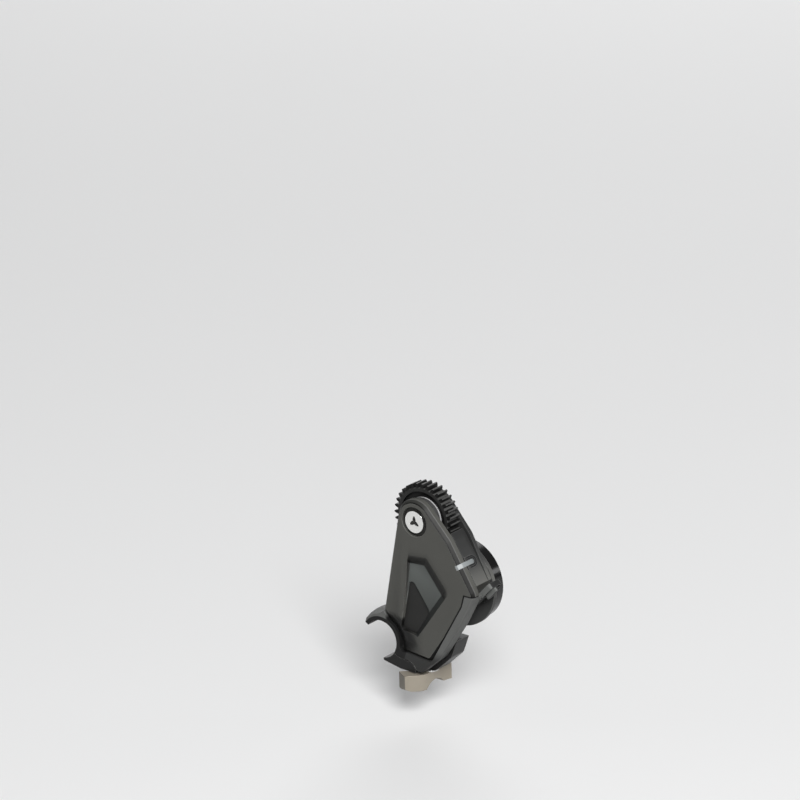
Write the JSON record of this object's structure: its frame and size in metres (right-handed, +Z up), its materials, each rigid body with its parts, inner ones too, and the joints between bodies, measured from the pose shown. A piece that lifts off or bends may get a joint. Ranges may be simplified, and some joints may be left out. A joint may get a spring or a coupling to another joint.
{
  "type": "follow focus motor",
  "caption": "Flat lens-drive motor with an exposed toothed gear, a status light bar, a flap over its port and a hook clamp for a 15 mm rod, tightened by a winged lever.",
  "frame": {"origin": "on the axis of the support rod, half way along the clamp's 15 mm bore", "axes": "+Y along the rod from the front cover to the motor's can, +Z up towards the drive gear, +X to the right seen from the front cover"},
  "size_m": [0.0594, 0.0244, 0.0824],
  "materials": {
    "cover_paint": "matte hard-anodised charcoal",
    "frame_paint": "matte hard-anodised charcoal, a little lighter",
    "housing_paint": "satin black anodised",
    "inlay": "fine matte black",
    "can_paint": "gloss black",
    "screw_steel": "bright turned steel",
    "dark_steel": "blackened steel",
    "bearing_steel": "ground bearing steel",
    "gear_plastic": "satin black acetal",
    "brass_gear": "machined brass",
    "light_bar": "milky white",
    "board": "green board lacquer",
    "chip": "black moulding compound",
    "lamination": "silicon steel laminations",
    "copper": "enamelled copper wire",
    "bronze": "oil-filled bronze",
    "flap_rubber": "matte black rubber",
    "jaw_paint": "satin black anodised",
    "lever_champagne": "satin champagne anodised",
    "socket_steel": "stamped steel"
  },
  "bodies": {
    "housing": {"front_cover": "cover_paint", "cover_inlay": "inlay", "axle_screw": "screw_steel", "light_guide": "light_bar", "led_board": "board", "clamp_frame": "frame_paint", "main_housing": "housing_paint", "rear_housing": "housing_paint", "case_screws": "dark_steel", "motor_base": "housing_paint", "rear_can": "can_paint", "gear_axle": "dark_steel", "bearing_inner": "bearing_steel", "bearing_shield": "bearing_steel", "idler_axle": "screw_steel", "motor_bush": "bronze", "stator_core": "lamination", "stator_coils": "copper", "control_board": "board", "board_chips": "chip", "port_socket": "socket_steel", "port_tongue": "chip", "flap_pin": "screw_steel", "guide_pins": "screw_steel"},
    "drive_gear": {"drive_gear": "gear_plastic", "bearing_outer": "bearing_steel"},
    "idler": {"idler_gear": "brass_gear", "idler_wheel": "brass_gear"},
    "rotor": {"rotor_bell": "screw_steel", "motor_shaft": "screw_steel", "pinion": "brass_gear"},
    "jaw": {"jaw": "jaw_paint"},
    "lever": {"wing_lever": "lever_champagne", "clamp_screw": "screw_steel", "lever_washer": "screw_steel"},
    "flap": {"port_flap": "flap_rubber"}
  },
  "joints": [
    {"name": "gear_spin", "type": "hinge", "parent": "housing", "child": "drive_gear", "pos_m": [0.0179, 0, 0.0515], "axis": [0, 1, 0], "continuous": true},
    {"name": "idler_spin", "type": "hinge", "parent": "housing", "child": "idler", "pos_m": [0.0195, 0, 0.03193], "axis": [0, 1, 0], "continuous": true},
    {"name": "motor_spin", "type": "hinge", "parent": "housing", "child": "rotor", "pos_m": [0.028, 0, 0.0252], "axis": [0, 1, 0], "continuous": true},
    {"name": "jaw_slide", "type": "slide", "parent": "housing", "child": "jaw", "axis": [0, 0, 1], "range_m": [-0.002, 0]},
    {"name": "lever_turn", "type": "hinge", "parent": "jaw", "child": "lever", "pos_m": [0.0174, 0.0003, 0], "axis": [0, 0, 1], "range_deg": [-1028.55, 0]},
    {"name": "flap_swing", "type": "hinge", "parent": "housing", "child": "flap", "pos_m": [0.0406, 0, 0.0219], "axis": [0, 1, 0], "range_deg": [0, 167.45]}
  ],
  "couplings": [
    {"joint": "idler_spin", "follows": "motor_spin", "ratio": -0.35},
    {"joint": "gear_spin", "follows": "motor_spin", "ratio": 0.18594},
    {"joint": "jaw_slide", "follows": "lever_turn", "m_per_rad": 0.00011141}
  ]
}
